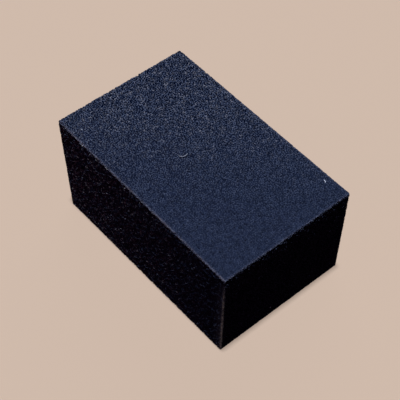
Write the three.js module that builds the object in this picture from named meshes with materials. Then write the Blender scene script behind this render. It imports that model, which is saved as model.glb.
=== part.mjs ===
// Shoe polishing sponge: one block of fine-pored black foam, cut by hand from a thick slab.
//
// Millimetres, +Z up. The block stands on its base, with the origin in the middle of the base face.
// X runs along its length, Y across its width. A soft slab moves under the blade, so the cuts aren't
// quite square: the block is a little thicker at one end, and both ends slope in towards the base.

import * as THREE from "three";
import { RoundedBoxGeometry } from "three/addons/geometries/RoundedBoxGeometry.js";

// Sizes of the block
const length = 80; // along X, end to end of the top face
const width = 50; // along Y, side to side
const thickEndHeight = 40; // from the base to the top face, at the -X end
const thinEndHeight = 38; // from the base to the top face, at the +X end
const endLean = 1.5; // how much further in each end face is at the base than at the top
const edgeRadius = 0.6; // foam gives way at a cut edge, so every edge is slightly round
const edgeSteps = 4; // facets round each edge

// Height of the sloping top face above the base, at a distance x from the middle
function topHeight(x) {
  const share = x / length + 0.5;
  return THREE.MathUtils.lerp(thickEndHeight, thinEndHeight, share);
}

// Half the block's length at a given share of its height, from 0 at the base to 1 at the top face
function halfLength(share) {
  return length / 2 - endLean * (1 - share);
}

// Starts as a square block with rounded edges, and moves its corners to where the cuts put them.
// The side faces, the ends, the top and the base all stay flat.
function makeBlockGeometry() {
  const meanHeight = (thickEndHeight + thinEndHeight) / 2;
  const geometry = new RoundedBoxGeometry(length, width, meanHeight, edgeSteps, edgeRadius);
  geometry.translate(0, 0, meanHeight / 2);
  const position = geometry.getAttribute("position");
  for (let i = 0; i < position.count; i++) {
    const share = position.getZ(i) / meanHeight;
    const x = (position.getX(i) * halfLength(share)) / halfLength(1);
    position.setX(i, x);
    position.setZ(i, share * topHeight(x));
  }
  geometry.computeVertexNormals();
  return geometry;
}

const foam = new THREE.MeshStandardMaterial({
  color: 0x252d42,
  roughness: 1,
  metalness: 0,
});

const block = new THREE.Mesh(makeBlockGeometry(), foam);
block.name = "foam_block";

const sponge = new THREE.Group();
sponge.name = "shoe_polishing_sponge";
sponge.add(block);

export default sponge;
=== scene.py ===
# %% [markdown]
# # A shoe polishing sponge
#
# This lesson builds the looks of one small object: an oblong block of fine-pored black foam, the kind
# that is held in the hand to buff a shoe. A imported CAD model gives its true size and its form, a block
# cut by hand and so a little thinner at one end. What a CAD block can't show is the foam itself, and
# that is what is made here: some thirty thousand open pores over its six faces, with painted shade in
# their depths and painted glints on their walls, a slight gloss and a painted highlight along its edges,
# and the dust, partly painted glints, the fluff and the crumbs that have settled on it.
#
# The imported model is loaded as a fixed frame, in metres. Every size below is worked out from its box or
# written in millimetres, as a maker would say it, and turned into metres by `MM`.

# %% Load the frame
import math

import bmesh
import bpy
import numpy as np
from mathutils import Matrix, Quaternion, Vector
from mathutils.bvhtree import BVHTree


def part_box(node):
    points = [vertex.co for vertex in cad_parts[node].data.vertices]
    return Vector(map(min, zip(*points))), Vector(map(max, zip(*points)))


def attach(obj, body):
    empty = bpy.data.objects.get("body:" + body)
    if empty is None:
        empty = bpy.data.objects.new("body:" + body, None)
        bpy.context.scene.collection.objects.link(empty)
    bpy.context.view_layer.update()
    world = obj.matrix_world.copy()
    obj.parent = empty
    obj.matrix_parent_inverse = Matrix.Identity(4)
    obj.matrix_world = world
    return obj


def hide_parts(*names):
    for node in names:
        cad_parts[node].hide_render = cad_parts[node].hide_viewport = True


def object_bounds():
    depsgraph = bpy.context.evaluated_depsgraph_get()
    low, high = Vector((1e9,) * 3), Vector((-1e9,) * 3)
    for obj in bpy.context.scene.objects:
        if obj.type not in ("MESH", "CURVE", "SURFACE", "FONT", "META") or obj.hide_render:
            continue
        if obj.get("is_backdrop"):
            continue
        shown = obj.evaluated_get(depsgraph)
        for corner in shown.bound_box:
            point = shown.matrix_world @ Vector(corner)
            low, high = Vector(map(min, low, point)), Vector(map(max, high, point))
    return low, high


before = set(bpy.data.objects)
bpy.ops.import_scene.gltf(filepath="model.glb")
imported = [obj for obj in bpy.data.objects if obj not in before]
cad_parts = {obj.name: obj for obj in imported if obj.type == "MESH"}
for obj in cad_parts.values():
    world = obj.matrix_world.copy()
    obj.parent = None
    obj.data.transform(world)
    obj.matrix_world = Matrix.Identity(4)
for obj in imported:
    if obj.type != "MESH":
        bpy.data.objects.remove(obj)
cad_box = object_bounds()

MM = 0.001
low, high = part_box("foam_block")
block_size = high - low
print("the block measures", [round(side / MM, 2) for side in block_size], "mm")

# %% [markdown]
# ## Working with operators
#
# Operators act on whatever is selected, just as they do by hand, so each step starts from an empty
# selection and names the one piece that it works on. The helpers for points read and write all the
# corners of a mesh as one table, which is much quicker than visiting them one by one. `fade_in` turns a
# plain ramp from 0 to 1 into one that starts and ends softly.

# %% Small helpers
def deselect_all():
    if bpy.context.object and bpy.context.object.mode != "OBJECT":
        bpy.ops.object.mode_set(mode="OBJECT")
    bpy.ops.object.select_all(action="DESELECT")


def work_on(piece):
    deselect_all()
    piece.select_set(True)
    bpy.context.view_layer.objects.active = piece


def edit_all(piece, select_type):
    work_on(piece)
    bpy.ops.object.mode_set(mode="EDIT")
    bpy.ops.mesh.select_mode(type=select_type)
    bpy.ops.mesh.select_all(action="SELECT")


def finish_edit():
    bpy.ops.object.mode_set(mode="OBJECT")


def apply_modifier(piece, modifier):
    work_on(piece)
    bpy.ops.object.modifier_apply(modifier=modifier.name)


def points_of(piece):
    points = np.empty(len(piece.data.vertices) * 3)
    piece.data.vertices.foreach_get("co", points)
    return points.reshape(-1, 3)


def put_points(piece, points):
    piece.data.vertices.foreach_set("co", points.ravel())
    piece.data.update()


def put_attribute(piece, name, values):
    layer = piece.data.attributes.new(name, "FLOAT", "POINT")
    layer.data.foreach_set("value", values)


def fade_in(values):
    share = np.clip(values, 0, 1)
    return share * share * (3 - 2 * share)


# %% [markdown]
# ## The form to work to
#
# The pores must follow the cut block exactly: its sloping top, its leaning ends and its soft edges. So
# the CAD block is copied, and the copy's loose triangles are joined into one skin. The skin is never
# seen. It is only what the foam is wrapped onto, and it is deleted at the end.

# %% Copy the CAD block
same_corner = 0.001 * MM
deselect_all()
block_form = bpy.data.objects.new("block_form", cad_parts["foam_block"].data.copy())
bpy.context.scene.collection.objects.link(block_form)
edit_all(block_form, "VERT")
bpy.ops.mesh.remove_doubles(threshold=same_corner)
finish_edit()
print("corners on the form:", len(block_form.data.vertices))

# %% [markdown]
# The block has six flat faces. Later steps ask how near a pore is to an edge and which face it is on,
# so each face is kept as a point and a direction. They are averaged over the form's triangles that
# look the same way, so they stay true when the block's size or slope changes.

# %% Find the six flat sides
side_names = ["top", "base", "front", "back", "thin_end", "thick_end"]
side_looks = [(0, 0, 1), (0, 0, -1), (0, -1, 0), (0, 1, 0), (1, 0, 0), (-1, 0, 0)]
same_way = 0.995
side_points = []
side_normals = []
for look in side_looks:
    flat = [face for face in block_form.data.polygons if face.normal.dot(Vector(look)) > same_way]
    area = sum(face.area for face in flat)
    side_points.append(sum((face.center * face.area for face in flat), Vector()) / area)
    side_normals.append(sum((face.normal * face.area for face in flat), Vector()).normalized())
side_points = np.array(side_points)
side_normals = np.array(side_normals)
for name, normal in zip(side_names, side_normals):
    print(name, "looks along", normal.round(3))


def depth_below_sides(points):
    """One row for each point: how far it lies inside each of the six sides."""
    return ((side_points[None] - points[:, None]) * side_normals[None]).sum(axis=2)


# %% [markdown]
# ## Where the pores are
#
# Foam is a crowd of bubbles that grew against each other, so its cells are like the cells of a Voronoi
# diagram: five to seven sided, no two alike, all about the same size. A shader could draw that, but it
# would leave the surface smooth, with clean edges. Here the pores are real geometry.
#
# It starts as an even grid of points on a plain cube of the block's size, one point for each pore. All
# edges that run along one axis are subdivided together, once for each axis, so the squares come out
# alike on every side however long, wide or thick the block is.

# %% Lay a grid of pore centres
pore_pitch = 0.79 * MM
mostly = 0.9
deselect_all()
bpy.ops.mesh.primitive_cube_add(size=1, calc_uvs=False, location=(low + high) / 2, scale=block_size)
foam = bpy.context.object
foam.name = "foam_pores"
bpy.ops.object.transform_apply(location=True, rotation=False, scale=True)
bpy.ops.object.mode_set(mode="EDIT")
bpy.ops.mesh.select_mode(type="EDGE")
for axis in range(3):
    bpy.ops.mesh.select_all(action="DESELECT")
    cage = bmesh.from_edit_mesh(foam.data)
    for edge in cage.edges:
        along = edge.verts[1].co - edge.verts[0].co
        edge.select_set(abs(along[axis]) > mostly * along.length)
    bmesh.update_edit_mesh(foam.data)
    bpy.ops.mesh.subdivide(number_cuts=round(block_size[axis] / pore_pitch) - 1)
finish_edit()
print("pore centres:", len(foam.data.vertices))

# %% [markdown]
# Then the grid is shaken by almost half its pitch and wrapped onto the form with a Shrinkwrap modifier.
# Its squares are split into triangles, and beautify turns their diagonals so that each point is joined
# to its true neighbours. One light smoothing evens out the points that came too close to each other.
# The random numbers have a fixed seed, so the same foam grows each time.

# %% Shake the grid and wrap it on the form
foam_seed = 7
chance = np.random.default_rng(foam_seed)
shake = 0.42 * pore_pitch
flat_angle = math.radians(30)
smoothing = 0.5


def wrap_onto_form(piece):
    wrap = piece.modifiers.new("Wrap", "SHRINKWRAP")
    wrap.target = block_form
    wrap.wrap_method = "NEAREST_SURFACEPOINT"
    apply_modifier(piece, wrap)


grid_points = points_of(foam)
put_points(foam, grid_points + chance.uniform(-shake, shake, grid_points.shape))
wrap_onto_form(foam)
edit_all(foam, "VERT")
bpy.ops.mesh.quads_convert_to_tris(quad_method="SHORTEST_DIAGONAL", ngon_method="BEAUTY")
bpy.ops.mesh.beautify_fill(angle_limit=flat_angle)
bpy.ops.mesh.vertices_smooth(factor=smoothing, repeat=1)
finish_edit()
wrap_onto_form(foam)
print("each centre moved by up to", round(shake / MM, 2), "mm")

# %% [markdown]
# A Dual Mesh node swaps points for faces: each pore centre becomes one cell with as many sides as it
# has neighbours. That is the net of walls between the bubbles.

# %% Turn the centres into cells
cell_tree = bpy.data.node_groups.new("cells_from_centres", "GeometryNodeTree")
cell_tree.interface.new_socket("Geometry", in_out="INPUT", socket_type="NodeSocketGeometry")
cell_tree.interface.new_socket("Geometry", in_out="OUTPUT", socket_type="NodeSocketGeometry")
centres_in = cell_tree.nodes.new("NodeGroupInput")
dual_mesh = cell_tree.nodes.new("GeometryNodeDualMesh")
cells_out = cell_tree.nodes.new("NodeGroupOutput")
cell_tree.links.new(centres_in.outputs[0], dual_mesh.inputs[0])
cell_tree.links.new(dual_mesh.outputs[0], cells_out.inputs[0])
cells = foam.modifiers.new("Cells", "NODES")
cells.node_group = cell_tree
apply_modifier(foam, cells)
bpy.data.node_groups.remove(cell_tree)
pore_count = len(foam.data.polygons)
wall_corner_count = len(foam.data.vertices)
print("pores:", pore_count, "wall corners:", wall_corner_count)

# %% [markdown]
# ## A map of the skin
#
# The finish may be baked onto an image later, so the skin gets a flat layout with every pore at the
# same scale: two columns of three sides each, with a gap round every side. Each side needs to know which
# way is up on the map, which way is right, and where its middle goes.

# %% Give each side its place on the map
map_gap = 2 * MM
map_width = 2 * block_size.x + 3 * map_gap
side_ups = np.array([(0, 1, 0), (0, -1, 0), (0, 0, 1), (0, 0, 1), (0, 0, 1), (0, 0, 1)])
side_rights = np.cross(side_ups, side_normals)
side_heights = (np.abs(side_ups) * np.array(block_size)).sum(axis=1)
side_centres = np.zeros((6, 2))
for column, rows in enumerate([("top", "front", "back"), ("base", "thin_end", "thick_end")]):
    across = map_gap + block_size.x / 2 + column * (block_size.x + map_gap)
    up = map_gap
    for row in rows:
        side = side_names.index(row)
        side_centres[side] = (across, up + side_heights[side] / 2)
        up += side_heights[side] + map_gap
print("the map is", round(map_width / MM, 1), "mm wide")

# %% [markdown]
# Then every corner of every pore is placed. The skin is unfolded rather than pressed flat: where a pore
# bends over an edge, the part beyond the edge is slid out level with the rest of it.

# %% Lay the skin out flat
cell_middles = np.empty(pore_count * 3)
foam.data.polygons.foreach_get("center", cell_middles)
nearest_sides = np.argsort(depth_below_sides(cell_middles.reshape(-1, 3)), axis=1)
corner_totals = np.empty(pore_count, dtype=int)
foam.data.polygons.foreach_get("loop_total", corner_totals)
home = np.repeat(nearest_sides[:, 0], corner_totals)
beyond = np.repeat(nearest_sides[:, 1], corner_totals)
corner_points = np.empty(len(foam.data.loops), dtype=int)
foam.data.loops.foreach_get("vertex_index", corner_points)
from_side = points_of(foam)[corner_points] - side_points[home]
dipped = -(from_side * side_normals[home]).sum(axis=1)
from_side += side_normals[beyond] * dipped[:, None]
flat_x = (from_side * side_rights[home]).sum(axis=1)
flat_y = (from_side * side_ups[home]).sum(axis=1)
flat_places = (np.stack([flat_x, flat_y], axis=1) + side_centres[home]) / map_width
skin_map = foam.data.uv_layers.new(name="OFBake")
skin_map.data.foreach_set("uv", flat_places.ravel())
print("the map reaches from", flat_places.min(axis=0).round(3), "to", flat_places.max(axis=0).round(3))

# %% [markdown]
# ## Press the pores in
#
# Poke puts a point in the middle of every cell and pulls it inwards, by the cell's own radius, so each
# cell becomes a pit with sloping walls. That measures every cell at the same time: its radius is how far
# its middle now lies from the form. The form also says which way is out at each point.

# %% Poke each cell
edit_all(foam, "FACE")
bpy.ops.mesh.poke(offset=-1.0, use_relative_offset=True, center_mode="MEDIAN_WEIGHTED")
finish_edit()

form_tree = BVHTree.FromObject(block_form, bpy.context.evaluated_depsgraph_get())
poked = points_of(foam)
found = [form_tree.find_nearest(Vector(point)) for point in poked]
on_skin = np.array([place for place, normal, index, distance in found])
outward = np.array([normal for place, normal, index, distance in found])
cell_radius = np.linalg.norm(poked - on_skin, axis=1)[wall_corner_count:]
print("a cell is", (2 * cell_radius.mean() / MM).round(2), "mm wide on average")

# %% [markdown]
# Real pores aren't all alike. So no pit is as deep as its neighbour, its middle lies a little to one
# side, and the walls between the pits stand at uneven heights. That unevenness matters most on the
# upright sides. Light that comes from above only grazes them, so it catches the few walls that stand
# proud and leaves the rest black.
#
# Near the block's edges the pits become shallow, because the blade presses the foam shut there. This
# also keeps the edges crisp.

# %% Press the pits in unevenly
deepest_pit = 0.75 * MM
depth_for_radius = (0.8, 1.5)
wall_dip = 0.3 * MM
edge_band = 1.1 * MM
edge_openness = 0.15
off_centre = 0.16
pit_shares = chance.uniform(*depth_for_radius, pore_count)
full_depth = np.empty(len(poked))
full_depth[:wall_corner_count] = chance.uniform(0, wall_dip, wall_corner_count)
full_depth[wall_corner_count:] = np.minimum(cell_radius * pit_shares, deepest_pit)
edge_distance = np.sort(depth_below_sides(on_skin), axis=1)[:, 1]
openness = edge_openness + (1 - edge_openness) * fade_in(edge_distance / edge_band)
depth = full_depth * openness
lean = chance.normal(0, off_centre, (pore_count, 3)) * cell_radius[:, None]
outward_middles = outward[wall_corner_count:]
lean -= (lean * outward_middles).sum(axis=1)[:, None] * outward_middles
placed = on_skin - outward * depth[:, None]
placed[wall_corner_count:] += lean
put_points(foam, placed)
print("pits are", (depth[wall_corner_count:].mean() / MM).round(2), "mm deep on average")
print("triangles:", len(foam.data.polygons))

# %% [markdown]
# ## What the finish needs to know
#
# Black foam isn't one black. Its look comes from four things that lie in known places, so each is kept
# as a number at every point of the skin, for the finish to read. The first is `pore_depth`, which says
# how far down a pore the point lies. The finish paints the deeper points darker, as painted shade in the
# pits.

# %% Note the depth
# Painted shade: the deeper a point lies in a pore, the darker it is painted, black from half a millimetre
# down. Dipped wall corners take less of it.
painted_shade_depth = 0.5 * MM
wall_shading = 0.4
pore_depth = np.clip(full_depth / painted_shade_depth, 0, 1)
pore_depth[:wall_corner_count] *= wall_shading
put_attribute(foam, "pore_depth", pore_depth)
print("pore depth:", pore_depth.mean().round(2), "on average")

# %% [markdown]
# The second is `edge_gloss_and_highlight`. It says how much the cut has sealed the foam to a slight
# gloss, and how strongly a highlight is painted along the edge there. It is faint on every edge, stronger
# along the front of the top, and strongest on the near upright corner, where the painted highlight
# spreads a little onto the front beside it. No two pores took it alike.

# %% Note the edge gloss and painted highlight
gloss_and_highlight_width = 0.5 * MM
edge_share = 0.2
rim_share = 0.6
front_spread_width = 3 * MM
front_spread_share = 0.12
corner_line_start = 0.5 * MM
corner_line_fade = 8 * MM
gloss_and_highlight_unevenness = (0.5, 1.1)


def near(distances, width):
    return np.exp(-((distances / width) ** 2))


depths = depth_below_sides(on_skin)
top_depth = depths[:, side_names.index("top")]
front_depth = depths[:, side_names.index("front")]
thin_end_depth = depths[:, side_names.index("thin_end")]
# These shares set a slight gloss and a painted highlight along the edges, strongest on the near upright
# corner.
beside_corner = near(thin_end_depth, gloss_and_highlight_width) + front_spread_share * near(thin_end_depth, front_spread_width)
corner_gloss_and_highlight = near(front_depth, gloss_and_highlight_width) * beside_corner * fade_in((top_depth - corner_line_start) / corner_line_fade)
rim_gloss_and_highlight = rim_share * near(front_depth, gloss_and_highlight_width) * near(top_depth, gloss_and_highlight_width)
all_edges = edge_share * near(edge_distance, gloss_and_highlight_width)
gloss_and_highlight = np.maximum(np.maximum(corner_gloss_and_highlight, rim_gloss_and_highlight), all_edges)
put_attribute(foam, "edge_gloss_and_highlight", gloss_and_highlight * chance.uniform(*gloss_and_highlight_unevenness, len(placed)))
print("seal:", gloss_and_highlight.mean().round(3), "on average,", gloss_and_highlight.max().round(2), "where it is strongest")

# %% [markdown]
# The third is `dust_and_glints`: pale specks on the walls between the pores of the top. They are partly
# dry dust that is rubbed off again where the sponge was last used, and partly painted glints, a painted
# sheen that grows away from the near corner. `away_from_near_corner` says how little a place was used. It
# grows towards the thick end, and a little towards the back, so the far corner keeps most specks and the
# near one none. Some specks sit on the front as well, more of them towards the thick end. It is a matter
# of single specks: chance raised to a high power leaves most walls clean and a few of them pale.

# %% Note the dust and painted glints
top_dust_and_glints = 0.95
front_dust_and_glints = 2.9
speck_rarity = 6
speck_start = 0.25
speck_reach = 0.65
length_counts = 0.7
speck_trace = 0.05
towards_thick_end = (high.x - on_skin[:, 0]) / block_size.x
towards_back = (on_skin[:, 1] - low.y) / block_size.y
away_from_near_corner = length_counts * towards_thick_end + (1 - length_counts) * towards_back
faces_up = outward[:, 2] > mostly
faces_front = outward[:, 1] < -mostly
# Pale specks, partly dust and partly painted glints, grow away from the near corner. A few sit on the
# front, more towards the thick end.
top_specks = top_dust_and_glints * faces_up * fade_in((away_from_near_corner - speck_start) / speck_reach)
front_specks = front_dust_and_glints * faces_front * towards_thick_end
specks = chance.uniform(0, 1, len(placed)) ** speck_rarity
dust_and_glints = (top_specks + front_specks) * (1 - pore_depth) * specks
put_attribute(foam, "dust_and_glints", dust_and_glints)
print("points with a trace of dust:", int((dust_and_glints > speck_trace).sum()))

# %% [markdown]
# The fourth is `worn`. Rubbing and old polish even the foam out, so that walls and pores differ less in
# tone where the block was used most, which is towards the near corner. `worn` says how far that has
# gone, from 0 to 1. It counts on the top, which does the buffing, and on the front, where it is held.

# %% Note the wear
unworn_share = 0.1
worn = (faces_up + faces_front) * fade_in((1 - unworn_share - away_from_near_corner) / (1 - unworn_share))
put_attribute(foam, "worn", worn)
print("wear on the top:", worn[faces_up].min().round(2), "to", worn[faces_up].max().round(2))

# %% [markdown]
# The pits should catch light as soft hollows with firm walls between them. Smooth shading by angle does
# that: it blends the gentle slopes and keeps a crease wherever two faces meet at more than 50 degrees.

# %% Shade the skin
crease_angle = math.radians(50)
work_on(foam)
bpy.ops.object.shade_smooth_by_angle(angle=crease_angle)
print("smooth up to", round(math.degrees(crease_angle)), "degrees")

# %% [markdown]
# ## The finish of the foam
#
# Foam is matt through and through, so its surface is a Principled shader with a high roughness and no
# specular at all. With any, the skin would mirror a bright floor and its black would turn grey. What is
# left is colour, with painted shade, glints and highlights among it, and that is built up in layers, from
# the pores outwards.
#
# The helpers below add a node or two each, so that a finish reads as a list of its layers.

# %% Helpers for finishes
def new_material(name):
    material = bpy.data.materials.new(name)
    material.use_nodes = True
    material.node_tree.nodes.clear()
    return material, material.node_tree.nodes, material.node_tree.links


def noise(nodes, links, feature_size):
    """A noise in the piece's own space, whose features are about this many metres wide."""
    place = nodes.new("ShaderNodeTexCoord")
    pattern = nodes.new("ShaderNodeTexNoise")
    pattern.inputs["Scale"].default_value = 1 / feature_size
    links.new(place.outputs["Object"], pattern.inputs["Vector"])
    return pattern


def attribute(nodes, name):
    read = nodes.new("ShaderNodeAttribute")
    read.attribute_name = name
    return read.outputs["Fac"]


def map_range(nodes, links, value, given, wanted):
    change = nodes.new("ShaderNodeMapRange")
    change.inputs["From Min"].default_value, change.inputs["From Max"].default_value = given
    change.inputs["To Min"].default_value, change.inputs["To Max"].default_value = wanted
    links.new(value, change.inputs["Value"])
    return change.outputs["Result"]


def combine(nodes, links, operation, first, second):
    maths = nodes.new("ShaderNodeMath")
    maths.operation = operation
    links.new(first, maths.inputs[0])
    links.new(second, maths.inputs[1])
    return maths.outputs[0]


def mix_colours(nodes, links, share, first, second):
    mix = nodes.new("ShaderNodeMix")
    mix.data_type = "RGBA"
    links.new(share, mix.inputs["Factor"])
    for name, colour in (("A", first), ("B", second)):
        if isinstance(colour, bpy.types.NodeSocket):
            links.new(colour, mix.inputs[name])
        else:
            mix.inputs[name].default_value = (*colour, 1)
    return mix.outputs["Result"]


# %% [markdown]
# The walls are a dark grey with a blue cast, and the pores between them are painted almost black, as
# painted shade in the pits. A wall isn't evenly pale either: it is a strut thinner than a hair and
# catches the light in spots, so paler spots are painted on it as painted glints. Two shares are
# multiplied: how much of a wall the point is, and a grain a third of a millimetre wide. A colour ramp
# turns the result into colour. The grain is hard-edged, and has no finer detail, because that would only
# blur into haze.

# %% Colour of the walls, with painted glints, and of the pores, with painted shade
# The darkest colour is painted shade at the bottom of the pits, and the palest is a painted glint on the
# walls.
pore_painted_shade = (0.001, 0.0035, 0.018, 1)
wall_blue = (0.049, 0.071, 0.140, 1)
wall_glint_pale = (0.116, 0.145, 0.240, 1)
wall_blue_at = 0.6
wall_depths = (0.2, 0.65)
wall_shares = (0.94, 0.0)
glint_grain_size = 0.33 * MM
glint_grain_edge = (0.45, 0.55)
none_to_all = (0.0, 1.0)
foam_finish, nodes, links = new_material("black_foam")
wall_share = map_range(nodes, links, attribute(nodes, "pore_depth"), wall_depths, wall_shares)
# The pale spots of this grain are painted glints, where a strut would catch the light.
glint_grain = noise(nodes, links, glint_grain_size)
glint_grain.inputs["Detail"].default_value = 0.0
glint_grain_share = map_range(nodes, links, glint_grain.outputs["Fac"], glint_grain_edge, none_to_all)
foam_colours = nodes.new("ShaderNodeValToRGB")
foam_colours.color_ramp.elements.new(wall_blue_at)
for stop, colour in zip(foam_colours.color_ramp.elements, (pore_painted_shade, wall_blue, wall_glint_pale)):
    stop.color = colour
tone = combine(nodes, links, "MULTIPLY", wall_share, glint_grain_share)
links.new(tone, foam_colours.inputs["Fac"])
print("walls and pores take", len(nodes), "nodes")

# %% [markdown]
# Over that lie the marks of use and more painted light. Wear draws the tones together, towards one even
# blue-grey. Pale specks of dust and painted glints show only where the grain is pale too, which makes a
# speck smaller than its cell. Along the sealed edges a painted highlight makes the colour a little paler
# and warmer, more in some places than in others.

# %% Wear, dust with painted glints, and painted edge highlights
# The grey of the specks is partly dust and partly painted glints. The warm grey along the edges is a
# painted highlight.
worn_tone = (0.022, 0.032, 0.071)
dust_and_glint_grey = (0.35, 0.36, 0.43)
painted_highlight_grey = (0.52, 0.46, 0.60)
most_evened = 0.78
most_highlighted = 0.25
patch_size = 5 * MM
patch_edge = (0.3, 0.7)
patch_strength = (0.5, 1.3)
evened_share = map_range(nodes, links, attribute(nodes, "worn"), none_to_all, (0.0, most_evened))
evened = mix_colours(nodes, links, evened_share, foam_colours.outputs["Color"], worn_tone)
dust_and_glint_share = combine(nodes, links, "MULTIPLY", attribute(nodes, "dust_and_glints"), glint_grain_share)
with_dust_and_glints = mix_colours(nodes, links, dust_and_glint_share, evened, dust_and_glint_grey)
patches = noise(nodes, links, patch_size)
patch_share = map_range(nodes, links, patches.outputs["Fac"], patch_edge, patch_strength)
gloss_and_highlight_share = combine(nodes, links, "MULTIPLY", attribute(nodes, "edge_gloss_and_highlight"), patch_share)
highlight_share = map_range(nodes, links, gloss_and_highlight_share, none_to_all, (0.0, most_highlighted))
highlighted_colour = mix_colours(nodes, links, highlight_share, with_dust_and_glints, painted_highlight_grey)
print("with the marks of use,", len(nodes), "nodes")

# %% [markdown]
# Foam that was pressed shut also shines a little. That is a coat, laid on by the same share as the
# painted edge highlight.
# Its roughness is the same all over, so it is set on the shader itself.

# %% The surface of the foam
foam_roughness = 0.9
coat_roughness = 0.45
skin = nodes.new("ShaderNodeBsdfPrincipled")
skin.inputs["Roughness"].default_value = foam_roughness
skin.inputs["Specular IOR Level"].default_value = 0.0
skin.inputs["Coat Roughness"].default_value = coat_roughness
links.new(highlighted_colour, skin.inputs["Base Color"])
links.new(gloss_and_highlight_share, skin.inputs["Coat Weight"])
surface = nodes.new("ShaderNodeOutputMaterial")
links.new(skin.outputs[0], surface.inputs["Surface"])
foam.data.materials.clear()
foam.data.materials.append(foam_finish)
print("the foam finish has", len(nodes), "nodes")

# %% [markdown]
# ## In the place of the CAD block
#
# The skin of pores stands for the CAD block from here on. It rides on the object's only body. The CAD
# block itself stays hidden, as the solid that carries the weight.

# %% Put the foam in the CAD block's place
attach(foam, "root")
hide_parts("foam_block")
print("foam_pores stands for foam_block")

# %% [markdown]
# ## Lint and crumbs
#
# Foam holds on to whatever it touches. One short fibre of lint lies curled on top, and three pale crumbs
# sit on the block. They are modelled, not painted, because each is a real thing lying on the surface.
#
# The fibre starts as a thin cylinder. Its long edges are subdivided into rings, and the rings towards
# either end are drawn in, so that it tapers.

# %% A straight fibre of lint
lint_length = 3.6 * MM
lint_radius = 0.12 * MM
lint_sides = 8
lint_rings = 23
lint_taper = 0.6
deselect_all()
bpy.ops.mesh.primitive_cylinder_add(
    vertices=lint_sides, radius=lint_radius, depth=lint_length, end_fill_type="TRIFAN",
    rotation=(0, math.pi / 2, 0),
)
lint = bpy.context.object
lint.name = "lint_fibre"
bpy.ops.object.transform_apply(location=True, rotation=True, scale=True)
bpy.ops.object.mode_set(mode="EDIT")
bpy.ops.mesh.select_mode(type="EDGE")
bpy.ops.mesh.select_all(action="DESELECT")
cage = bmesh.from_edit_mesh(lint.data)
for edge in cage.edges:
    edge.select_set(abs(edge.verts[0].co.x - edge.verts[1].co.x) > lint_length / 2 + lint_radius)
bmesh.update_edit_mesh(lint.data)
bpy.ops.mesh.subdivide(number_cuts=lint_rings)
finish_edit()
lint_points = points_of(lint)
along = np.abs(lint_points[:, 0]) / (lint_length / 2)
lint_points[:, 1:] *= (1 - lint_taper * along**3)[:, None]
put_points(lint, lint_points)
print("the fibre has", len(lint.data.polygons), "faces")

# %% [markdown]
# A Simple Deform modifier bends it round. Then it is turned and laid on the foam. A ray sent down onto
# the form tells how high the top is there.

# %% Bend the fibre and lay it down
lint_bend = 125
lint_turn = 68.8
middle = (low + high) / 2
lint_x = middle.x - 3.0 * MM
lint_y = middle.y - 4.1 * MM
above = high.z + block_size.z


def surface_at(start, direction):
    place, normal, index, distance = form_tree.ray_cast(Vector(start), Vector(direction))
    return place, normal


bend = lint.modifiers.new("Bend", "SIMPLE_DEFORM")
bend.deform_method = "BEND"
bend.deform_axis = "Z"
bend.angle = math.radians(lint_bend)
apply_modifier(lint, bend)
lint_place, lint_normal = surface_at((lint_x, lint_y, above), (0, 0, -1))
lint.rotation_euler = (0, 0, math.radians(lint_turn))
lint.location = lint_place + lint_normal * lint_radius
work_on(lint)
bpy.ops.object.transform_apply(location=True, rotation=True, scale=True)
bpy.ops.object.shade_smooth()
lint_points = points_of(lint)
print("the lint spans", ((lint_points.max(axis=0) - lint_points.min(axis=0)) / MM).round(2), "mm")

# %% [markdown]
# A crumb is a small ball pushed out of round. Every corner of the ball moves in or out by chance, the
# ball is squashed to the crumb's length, width and thickness, and it is stood on whichever side it
# clings to, half sunk in the pores. Each crumb has a seed of its own, so that no two are alike.

# %% Three crumbs
lumpiness = (0.72, 1.1)
crumb_crease = math.radians(60)


def add_crumb(name, start, direction, size, turn, seed):
    place, normal = surface_at(start, direction)
    deselect_all()
    bpy.ops.mesh.primitive_ico_sphere_add(subdivisions=2, radius=0.5)
    crumb = bpy.context.object
    crumb.name = name
    crumb_chance = np.random.default_rng(seed)
    lumps = points_of(crumb)
    put_points(crumb, lumps * crumb_chance.uniform(*lumpiness, (len(lumps), 1)))
    crumb.scale = Vector(size) * MM
    stand_up = Vector((0, 0, 1)).rotation_difference(normal)
    spin = Quaternion((0, 0, 1), math.radians(turn))
    crumb.rotation_euler = (stand_up @ spin).to_euler()
    crumb.location = place
    bpy.ops.object.transform_apply(location=True, rotation=True, scale=True)
    bpy.ops.object.shade_smooth_by_angle(angle=crumb_crease)
    return crumb


far_start = (high.x - 8.4 * MM, high.y - 2.7 * MM, above)
thick_start = (low.x + 8.1 * MM, low.y + 3.6 * MM, above)
thin_start = (high.x + block_size.x, middle.y - 4.5 * MM, low.z + 4.3 * MM)
crumbs = [
    add_crumb("crumb_far", far_start, (0, 0, -1), size=(1.35, 0.52, 0.4), turn=163, seed=3),
    add_crumb("crumb_thick_end", thick_start, (0, 0, -1), size=(0.45, 0.35, 0.3), turn=20, seed=4),
    add_crumb("crumb_thin_end", thin_start, (-1, 0, 0), size=(0.8, 0.45, 0.35), turn=0, seed=5),
]
for crumb in crumbs:
    print(crumb.name, "sits at", (points_of(crumb).mean(axis=0) / MM).round(1), "mm")

# %% [markdown]
# Lint and crumbs are pale and a little blue beside the foam, and as rough. Neither is one flat colour:
# fluff is thick in one place and thin in the next, so a fine noise moves each between a dull tone and a
# bright one. The fibre is finer and lets more of the black show through, so its tones are lower.

# %% Lint and crumb finish
fluff_mottle = 0.3 * MM
mottle_edge = (0.35, 0.65)
fluff_specular = 0.2
lint_tones = ((0.22, 0.26, 0.37), (0.38, 0.43, 0.58))
crumb_tones = ((0.33, 0.38, 0.52), (0.48, 0.54, 0.71))


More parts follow.
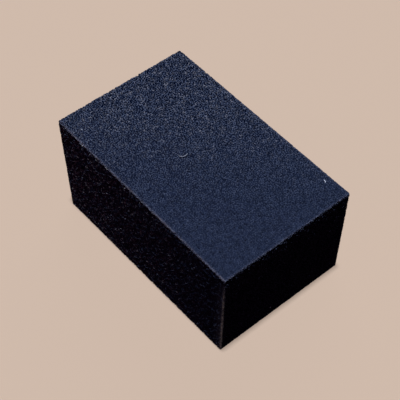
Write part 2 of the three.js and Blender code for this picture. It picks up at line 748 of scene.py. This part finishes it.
def fluff_finish(name, dull_colour, bright_colour):
    material, nodes, links = new_material(name)
    mottle = noise(nodes, links, fluff_mottle)
    bright_share = map_range(nodes, links, mottle.outputs["Fac"], mottle_edge, none_to_all)
    tone = mix_colours(nodes, links, bright_share, dull_colour, bright_colour)
    fluff = nodes.new("ShaderNodeBsdfPrincipled")
    fluff.inputs["Roughness"].default_value = foam_roughness
    fluff.inputs["Specular IOR Level"].default_value = fluff_specular
    links.new(tone, fluff.inputs["Base Color"])
    surface = nodes.new("ShaderNodeOutputMaterial")
    links.new(fluff.outputs[0], surface.inputs["Surface"])
    return material


lint_finish = fluff_finish("pale_lint", *lint_tones)
crumb_finish = fluff_finish("pale_crumb", *crumb_tones)
for fleck, finish in [(lint, lint_finish), *((crumb, crumb_finish) for crumb in crumbs)]:
    fleck.data.materials.clear()
    fleck.data.materials.append(finish)
    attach(fleck, "root")
bpy.data.objects.remove(block_form)
print("pieces:", [piece.name for piece in (foam, lint, *crumbs)])

# %% [markdown]
# ## The floor
#
# The sponge stands on a plain pale floor, a disc wide enough to reach past every view.

# %% Floor
floor_radius = 4.0
floor_corners = 96
deselect_all()
bpy.ops.mesh.primitive_circle_add(
    vertices=floor_corners, radius=floor_radius, fill_type="NGON", location=(0, 0, 0),
)
floor = bpy.context.object
floor.name = "studio_floor"
print("the floor is", 2 * floor_radius, "m across")

# %% [markdown]
# A black object needs two things of its floor. Light that the floor throws back would grey the upright
# sides, so to every ray but the ones that are seen the floor is nearly black, with a faint warm tinge.
# And a full shadow would look as black as the foam and swallow its outline, so part of the floor's
# colour is a steady glow that no shadow takes away. The rest is lit, and holds the shadow.
#
# Light Path tells the rays apart. What is seen straight, in a reflection or through glass counts as seen.

# %% Floor finish
floor_look = (0.66, 0.52, 0.43)
floor_bounce = (0.03, 0.015, 0.015)
light_level = 0.95
shadow_share = 0.4


def seen_directly(nodes, links):
    rays = nodes.new("ShaderNodeLightPath")
    seen = rays.outputs["Is Camera Ray"]
    for kind in ("Is Glossy Ray", "Is Transmission Ray"):
        seen = combine(nodes, links, "MAXIMUM", seen, rays.outputs[kind])
    return seen


floor_finish, nodes, links = new_material("pale_floor")
seen = seen_directly(nodes, links)
lit_colour = [channel * shadow_share for channel in floor_look]
steady_colour = [channel * (1 - shadow_share) * light_level for channel in floor_look]
matt = nodes.new("ShaderNodeBsdfDiffuse")
links.new(mix_colours(nodes, links, seen, floor_bounce, lit_colour), matt.inputs["Color"])
glow = nodes.new("ShaderNodeEmission")
links.new(mix_colours(nodes, links, seen, (0, 0, 0), steady_colour), glow.inputs["Color"])
both = nodes.new("ShaderNodeAddShader")
links.new(matt.outputs[0], both.inputs[0])
links.new(glow.outputs[0], both.inputs[1])
surface = nodes.new("ShaderNodeOutputMaterial")
links.new(both.outputs[0], surface.inputs["Surface"])
floor.data.materials.append(floor_finish)
floor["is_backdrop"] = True
print("lit floor colour:", [round(channel, 3) for channel in lit_colour])

# %% [markdown]
# ## The light
#
# The light comes from straight above, and that is what makes this small black thing readable. The top is
# fully lit, the upright sides fall away to black, and only the rims of their pores catch a spark. The
# key light leans a little over the front and the thin end, so those two sides get sparks as well. Two
# wide, weak lights fill in: one from behind keeps the far sides from vanishing, and a faint reddish one
# in front warms the black a little, as a wooden floor would. All are suns, so the light is the same
# wherever the sponge is put.

# %% Light
def sun_light(name, from_direction, spread, strength, colour=(1, 1, 1)):
    lamp = bpy.data.lights.new(name, "SUN")
    lamp.angle = math.radians(spread)
    lamp.energy = strength
    lamp.color = colour
    holder = bpy.data.objects.new(name, lamp)
    bpy.context.scene.collection.objects.link(holder)
    holder.rotation_euler = Vector(from_direction).to_track_quat("Z", "Y").to_euler()


sun_light("key_light", from_direction=(0.018, -0.012, 1), spread=3, strength=2.8)
sun_light("back_fill", from_direction=(-0.6, 0.7, 0.45), spread=60, strength=0.4)
sun_light("front_fill", from_direction=(0.2, -1, 0.3), spread=60, strength=0.085, colour=(1.0, 0.15, 0.5))

# %% [markdown]
# The sky is treated as the floor is. `light_level` is how bright a white card on the floor would come
# out, and where the sky is seen it repeats the floor's colour at that level. So in a low view the floor
# meets the sky without a line. To all other rays the sky is almost black, and leaves the lighting to the
# three suns.

# %% Sky
room_glow = (0.004, 0.004, 0.004)
backdrop = [channel * light_level for channel in floor_look]
world = bpy.data.worlds.new("studio")
bpy.context.scene.world = world
world.use_nodes = True
nodes, links = world.node_tree.nodes, world.node_tree.links
nodes.clear()
sky = nodes.new("ShaderNodeBackground")
seen = seen_directly(nodes, links)
links.new(mix_colours(nodes, links, seen, room_glow, backdrop), sky.inputs["Color"])
surface = nodes.new("ShaderNodeOutputWorld")
links.new(sky.outputs[0], surface.inputs["Surface"])
print("sky colour:", [round(channel, 3) for channel in backdrop])

# %% [markdown]
# ## The camera
#
# The camera looks down on the near upright corner from about 50 degrees, with a lens of about 100 mm.
# It aims just beside the middle of the block. Four things place it: how far round it stands, how high,
# how far it is tipped, and how far away it is.

# %% Camera
camera_azimuth = 50.13
camera_elevation = 50.51
camera_roll = -0.57
camera_distance = 355.6 * MM
camera_lens = 100.37
camera_film_width = 36
camera_aim_shift = Vector((0.96, -1.12, -0.5)) * MM
camera_aim = middle + camera_aim_shift
camera_data = bpy.data.cameras.new("camera")
camera_data.lens = camera_lens
camera_data.sensor_width = camera_film_width
camera = bpy.data.objects.new("camera", camera_data)
bpy.context.scene.collection.objects.link(camera)
turn = (
    Matrix.Rotation(math.radians(camera_azimuth), 4, "Z")
    @ Matrix.Rotation(math.radians(90 - camera_elevation), 4, "X")
    @ Matrix.Rotation(math.radians(camera_roll), 4, "Z")
)
camera.matrix_world = Matrix.Translation(camera_aim) @ turn @ Matrix.Translation((0, 0, camera_distance))
bpy.context.scene.camera = camera
bpy.context.scene.view_settings.view_transform = "Standard"
print("the camera stands at", [round(side / MM) for side in camera.matrix_world.translation], "mm")

# %% [markdown]
# ## The size at the end
#
# The looks must not change the size. The box of everything made here is printed beside the CAD model's
# own box, so that the two can be compared.

looks_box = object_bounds()
for name, box in (("CAD", cad_box), ("looks", looks_box)):
    print(name, "box:", [[round(side / MM, 2) for side in corner] for corner in box], "mm")
